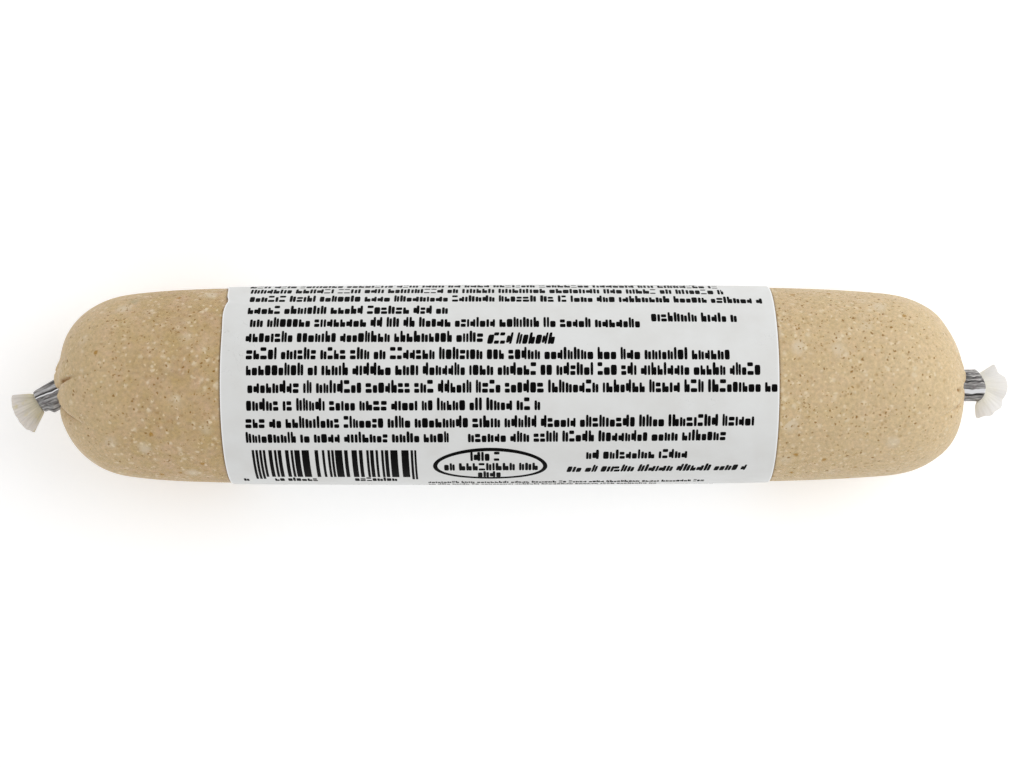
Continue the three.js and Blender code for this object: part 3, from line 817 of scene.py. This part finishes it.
# Takes points of a clip's frame (along its axis, sideways towards +Y, up) to the part's.
def clipPlace(clip, along, sideways, up):
    turn, sign = np.radians(clip["tilt"]), clip["end"]["sign"]
    x = sign * (clip["x"] + along * np.cos(turn) + sideways * np.sin(turn))
    y = clip["y"] - along * np.sin(turn) + sideways * np.cos(turn)
    return together(x, y, axisHeight + up)


# How far a clip's outer face lies behind its foremost point: height * sin^2, slightly uneven.
def faceFall(clip, angle):
    at, height, uneven = clip["bow"]
    uneven = 1 + uneven * np.sin(np.radians(angle))
    return height * uneven * np.sin(np.radians(angle - at)) ** 2


# How far along its axis a clip reaches inwards, cut along the floor of the roll's pit.
def innerReach(clip, sideways):
    end, turn = clip["end"], np.radians(clip["tilt"])
    floor = end["pole"] - end["pit"]["depth"] + clearance
    return (floor - clip["x"] - sideways * np.sin(turn)) / np.cos(turn)


# Aluminium strip, rolled and crimped: dull grey, partly a painted reflection of darker surroundings,
# with fine wandering draw lines, purplish patches of painted reflection, painted shade in its
# grooves and seam, and painted highlight bands.
metal = {
    # the grey tones, darker than bare aluminium, are partly a painted reflection of darker
    # surroundings
    "tones": ("#585654", "#c8c6c4"), "bright": "#fdfdff", "shadeAndDarkReflection": "#222224",
    "lineWidth": 0.2, "lineLength": 2.4,  # real draw lines are too fine to show
    "tintedReflection": ("#6c5c60", 1.1, 0.45),  # colour of the patches of painted reflection, their size, share
}


def metalMaterial():
    material, add = startMaterial("aluminiumCrimped")
    flat = add("UVMap", uv_map="flat")
    stretched = add("Mapping", {
        "Vector": flat, "Scale": (1 / metal["lineLength"], 1 / metal["lineWidth"], 1)})
    lines = add("TexNoise", {
        "Vector": stretched, "Scale": 1.0, "Detail": 3.0, "Roughness": 0.6, "Distortion": 0.8})
    level = add("MapRange", {"Value": lines, "From Min": 0.35, "From Max": 0.7})
    colour = add("Mix", {
        0: level, 6: linear(metal["tones"][0]), 7: linear(metal["tones"][1])}, data_type="RGBA")
    # purplish patches of painted reflection
    dull, size, most = metal["tintedReflection"]
    patches = add("TexNoise", {"Vector": flat, "Scale": 1 / size})
    share = add("MapRange", {"Value": patches, "From Min": 0.48, "From Max": 0.68, "To Max": most})
    colour = add("Mix", {0: share, 6: colour, 7: linear(dull)}, data_type="RGBA")
    # painted highlight bands: near white and less rough
    paintedHighlight = add("Attribute", attribute_name="paintedHighlight").outputs["Fac"]
    # painted shade in the scores and seam, and darker painted reflection on the dull strips
    shadeAndDarkReflection = add("Attribute", attribute_name="shadeAndDarkReflection").outputs["Fac"]
    for share, over in ((paintedHighlight, metal["bright"]), (shadeAndDarkReflection, metal["shadeAndDarkReflection"])):
        colour = add("Mix", {0: share, 6: colour, 7: linear(over)}, data_type="RGBA")
    rough = add("MapRange", {"Value": paintedHighlight, "To Min": 0.38, "To Max": 0.15})
    bump = add("Bump", {"Height": lines, "Strength": 0.5, "Distance": 0.00004})
    finishMaterial(add, {"Metallic": 1.0, "Base Color": colour, "Roughness": rough, "Normal": bump})
    return material


# The crimped strip: a C of metal round its seam. Outside radius is the strip's own plus bells
# for bulges and ridges, less bells for scores, with a quarter-round at both rims. The seam and
# what lies near it turn by the twist on the way in. Scores are painted darker by their darkness,
# as shade in grooves and darker reflection on dull strips, and a painted highlight band fades
# over the last third of its reach.
def buildClip(side, material):
    clip = clips[side]
    angle = clip["seam"] + np.linspace(strip["slot"] / 2, 360 - strip["slot"] / 2,
                                       strip["angleSteps"])[:, None]
    share = (1 - np.cos(np.pi * np.linspace(0, 1, strip["lengthSteps"]))) / 2
    nearSeam = bell(turnBetween(angle, clip["seam"]), strip["twistReach"])
    turned = angle + clip["twist"] * share * nearSeam
    past = smoothStep(share, strip["slimFrom"], strip["slimTo"])
    outside = clip["radius"] + 0 * turned
    for at, reach, height in clip["bulges"]:
        outside = outside + past * height * bell(turnBetween(turned, at), reach)
    for at, reach, height in clip["ridges"]:
        outside = outside + height * bell(turnBetween(angle, at), reach)
    # how dark each point is painted: shade in the scores, darker reflection on the dull strips
    shadeAndDarkReflection = 0 * outside
    for number, (at, reach, depth, darkness) in enumerate(clip["scores"], 1):
        strayed = at + strip["stray"] * sway(share, strip["strayBends"], number)
        dent = bell(turnBetween(angle, strayed), reach)
        outside = outside - depth * dent
        shadeAndDarkReflection = np.maximum(shadeAndDarkReflection, dent * darkness)
    # painted highlight bands, which stray like the scores
    paintedHighlight = 0 * outside
    for number, (at, reach, strength) in enumerate(clip["bright"], 1):
        strayed = at + strip["stray"] * sway(share, strip["strayBends"], number)
        inside = reach - np.abs(turnBetween(angle, strayed))
        paintedHighlight = paintedHighlight + strength * smoothStep(inside, 0, reach / 3)
    fromRim = np.clip(np.minimum(share, 1 - share) / strip["edgeShare"], 0, 1)
    rounded = outside - strip["edgeRadius"] * (1 - np.sqrt(1 - (1 - fromRim) ** 2))
    bent = np.radians(turned + strip["swayTurn"] * np.sin(share * strip["swayBends"]))

    def face(radius):
        sideways, up = radius * np.sin(bent), radius * np.cos(bent)
        along = between(-faceFall(clip, turned), innerReach(clip, sideways), share)
        return clipPlace(clip, along, sideways, up)

    points, faces = slabSolid(face(rounded), face(bore + 0 * rounded))
    around = np.radians(angle - clip["seam"]) * clip["radius"]
    length = share * abs(innerReach(clip, 0))
    flat = np.tile(together(length, around).reshape(-1, 2), (2, 1))
    values = {"paintedHighlight": np.tile(paintedHighlight.ravel(), 2), "shadeAndDarkReflection": np.tile(shadeAndDarkReflection.ravel(), 2)}
    piece = pieceFrom(f"crimped_clip_{side}", points, faces, material, sharpAbove=40,
                      values=values, flatCoords=flat)
    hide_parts(f"clip_{side}")


clipMaterial = metalMaterial()
for side in ("left", "right"):
    buildClip(side, clipMaterial)
print("clips ready")


tufts = {
    "left": {
        "aim": -0.9, "spread": 32.9, "apex": -2.8, "offset": -0.45, "radius": 8.15,
        "rim": [  # direction, distance from the apex
            (-34.5, 7.95), (-33.5, 8.18), (-31, 8.3), (-28.5, 8.2), (-26.5, 8.22), (-23, 8.38),
            (-17, 8.3), (-13, 8.18), (-10, 8.2), (-3, 8.05), (8, 8.1), (17, 8.12), (26, 8.16),
            (30.5, 8.14), (32, 8.0)],
        "slit": (-0.45, 1.95), "opening": 1.5,
        "bulge": (1, 0, 0.3),  # which edge stands out halfway, by how much along and sideways
        "pleats": (5, 0.16), "creases": (19, 0.035),  # count, height
        "colours": ("#dcd5ce", "#d3cab0"), "stain": 0.55,  # at the rim, at the heart
        "folds": (0.15, 0.6),  # contrast and relief of the fine folds
    },
    "right": {
        "aim": -17.8, "spread": 70.3, "apex": -1.5, "offset": -0.4, "radius": 6.1,
        "rim": [
            (-88, 5.5), (-86.5, 6.15), (-84, 6.33), (-80, 6.2), (-72, 6.06), (-64, 6.48), (-59, 6.42),
            (-53, 6.15), (-47, 6.28), (-41, 6.45), (-35, 6.4), (-30, 6.05), (-25, 5.85), (-14, 6.03),
            (0, 6.2), (7, 6.26), (13, 6.34), (19, 6.22), (23, 5.98), (31, 5.5), (36, 5.48), (44, 5.8),
            (49, 6.0), (51.5, 5.98), (52.5, 5.75)],
        "slit": (-0.6, 2.75), "opening": 1.6,
        "bulge": (-1, -0.55, 0),
        "pleats": (2.6, 0.4), "creases": (7, 0.05),
        "colours": ("#eeece9", "#f5f0e2"), "stain": 0.06,
        "folds": (0.045, 0.25),
    },
}
gather = {
    "directions": 380, "outerSteps": 64, "innerSteps": 46, "cupFloor": 0.3, "wall": 0.3,
    "edgeFullness": 0.7, "opening": 0.5, "flare": 0.06, "start": 0.05, "bulgeReach": 0.35,
    "pleatLeast": 0.4, "pleatSway": 5, "pleatShift": 1, "creaseGrowth": 0.7,
    "sheetShift": 40,  # how far apart the patterns of the upper and lower sheet lie
}
neck = bore - clearance


# A point of a tuft's surface. share runs from the bore to the rim and direction round the
# flattened funnel. The rim is a fan whose distance from the apex follows a table. The film leaves
# the clip as a slit, within a short flare, and runs straight to the rim, but for one edge that
# bulges by a sine of the root of share. The pleats are sines across the fan that grow with share.
def tuftPoints(clip, tuft, share, direction, inset):
    turned = np.radians(direction)
    across = np.arcsin(np.sin(turned)) / (np.pi / 2)
    thick = np.sign(np.cos(turned)) * np.abs(np.cos(turned)) ** gather["edgeFullness"]
    spread = np.radians(tuft["spread"]) - inset / tuft["radius"]
    beta = np.radians(tuft["aim"]) + spread * across
    reach = np.interp(np.degrees(beta), *np.transpose(tuft["rim"]))
    rimAlong = tuft["apex"] + reach * np.cos(beta)
    rimSideways = tuft["offset"] + reach * np.sin(beta)
    neckAlong = gather["start"] - faceFall(clip, direction)
    flared = smoothStep(share, 0, gather["flare"])
    middle, half = tuft["slit"]
    slit = between((neck - inset) * np.sin(turned), middle + (half - inset) * across, flared)
    uneven = (1 + np.sin(gather["pleatSway"] * across + gather["pleatShift"])) / 2
    uneven = between(gather["pleatLeast"], 1, uneven)
    count, height = tuft["pleats"]
    pleat = height * uneven * share * np.sin(count * across * np.pi)
    count, height = tuft["creases"]
    pleat = pleat + height * share ** gather["creaseGrowth"] * sway(across * np.pi, count, 1)
    half = between(neck, tuft["opening"], share) - inset
    opened = share ** gather["opening"]
    up = between(neck - inset, half, opened) * between(np.cos(turned), thick, share) + pleat
    edge, bulgeAlong, bulgeSideways = tuft["bulge"]
    bulge = bell(across - edge, gather["bulgeReach"]) * np.sin(np.pi * np.sqrt(share))
    along = between(neckAlong, rimAlong, share) + bulgeAlong * bulge
    return clipPlace(clip, along, between(slit, rimSideways, share) + bulgeSideways * bulge, up)


# Gathered nylon film, pleated by the clip: milky where many layers lie on each other, with
# fine bright folds that run from the bore to the rim.
milky = {
    "finish": {"Roughness": 0.38, "IOR": 1.52, "Subsurface Weight": 0.35,
               "Subsurface Scale": 0.001, "Subsurface Radius": (1.0, 0.95, 0.85)},
    "fold": (0.9, 0.5),  # how far a fold runs, as a share; its width
    "stain": ("#cdbf86", 1.6),  # colour and size
}


def filmMaterial(name, tuft):
    material, add = startMaterial(name)
    flat = add("UVMap", uv_map="flat")
    parts = add("SeparateXYZ", {"Vector": flat})
    outwards = add("MapRange", {
        "Value": parts.outputs["X"], "From Min": 0.1, "From Max": 0.85},
        interpolation_type="SMOOTHSTEP")
    colour = add("Mix", {
        0: outwards, 6: linear(tuft["colours"][1]), 7: linear(tuft["colours"][0])},
        data_type="RGBA")
    place = add("TexCoord").outputs["Object"]
    stainColour, size = milky["stain"]
    blots = add("TexNoise", {"Vector": place, "Scale": perSize(size)})
    blot = add("MapRange", {
        "Value": blots, "From Min": 0.58, "From Max": 0.72, "To Max": tuft["stain"]})
    colour = add("Mix", {0: blot, 6: colour, 7: linear(stainColour)}, data_type="RGBA")
    contrast, relief = tuft["folds"]
    length, width = milky["fold"]
    stretched = add("Mapping", {"Vector": flat, "Scale": (1 / length, 1 / width, 1)})
    folds = add("TexNoise", {"Vector": stretched, "Scale": 1.0, "Detail": 3.0})
    level = add("MapRange", {
        "Value": folds, "From Min": 0.3, "From Max": 0.7,
        "To Min": 1 - contrast, "To Max": 1 + contrast})
    colour = add("VectorMath", {0: colour, 1: level}, operation="MULTIPLY")
    bump = add("Bump", {"Height": folds, "Strength": relief, "Distance": 0.0002})
    finishMaterial(add, {**milky["finish"], "Base Color": colour, "Normal": bump})
    return material


def buildTuft(side):
    clip, tuft = clips[side], tufts[side]
    direction = np.linspace(0, 360, gather["directions"], endpoint=False)
    turned = np.radians(direction)
    neckRing = clipPlace(clip, innerReach(clip, -neck), neck * np.sin(turned), neck * np.cos(turned))
    outerShare = np.linspace(0, 1, gather["outerSteps"])[:, None]
    innerShare = np.linspace(1, gather["cupFloor"], gather["innerSteps"])[:, None]
    rings = np.concatenate([
        neckRing.reshape(1, -1, 3),
        tuftPoints(clip, tuft, outerShare, direction, 0),
        tuftPoints(clip, tuft, innerShare, direction, gather["wall"])])
    points, faces = roundSolid(rings)
    shares = np.concatenate([[[0]], outerShare, innerShare])
    across = np.arcsin(np.sin(turned)) / (np.pi / 2) * tuft["radius"] * np.radians(tuft["spread"])
    sheet = np.sign(np.cos(turned)) * gather["sheetShift"]
    flat = together(shares, across + sheet).reshape(-1, 2)
    flat = np.concatenate([flat, [[0, 0], [gather["cupFloor"], 0]]])
    material = filmMaterial(f"filmGathered{side.capitalize()}", tuft)
    piece = pieceFrom(f"film_tuft_{side}", points, faces, material, flatCoords=flat)
    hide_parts(f"tuft_{side}")


for side in ("left", "right"):
    buildTuft(side)
print("tufts ready")
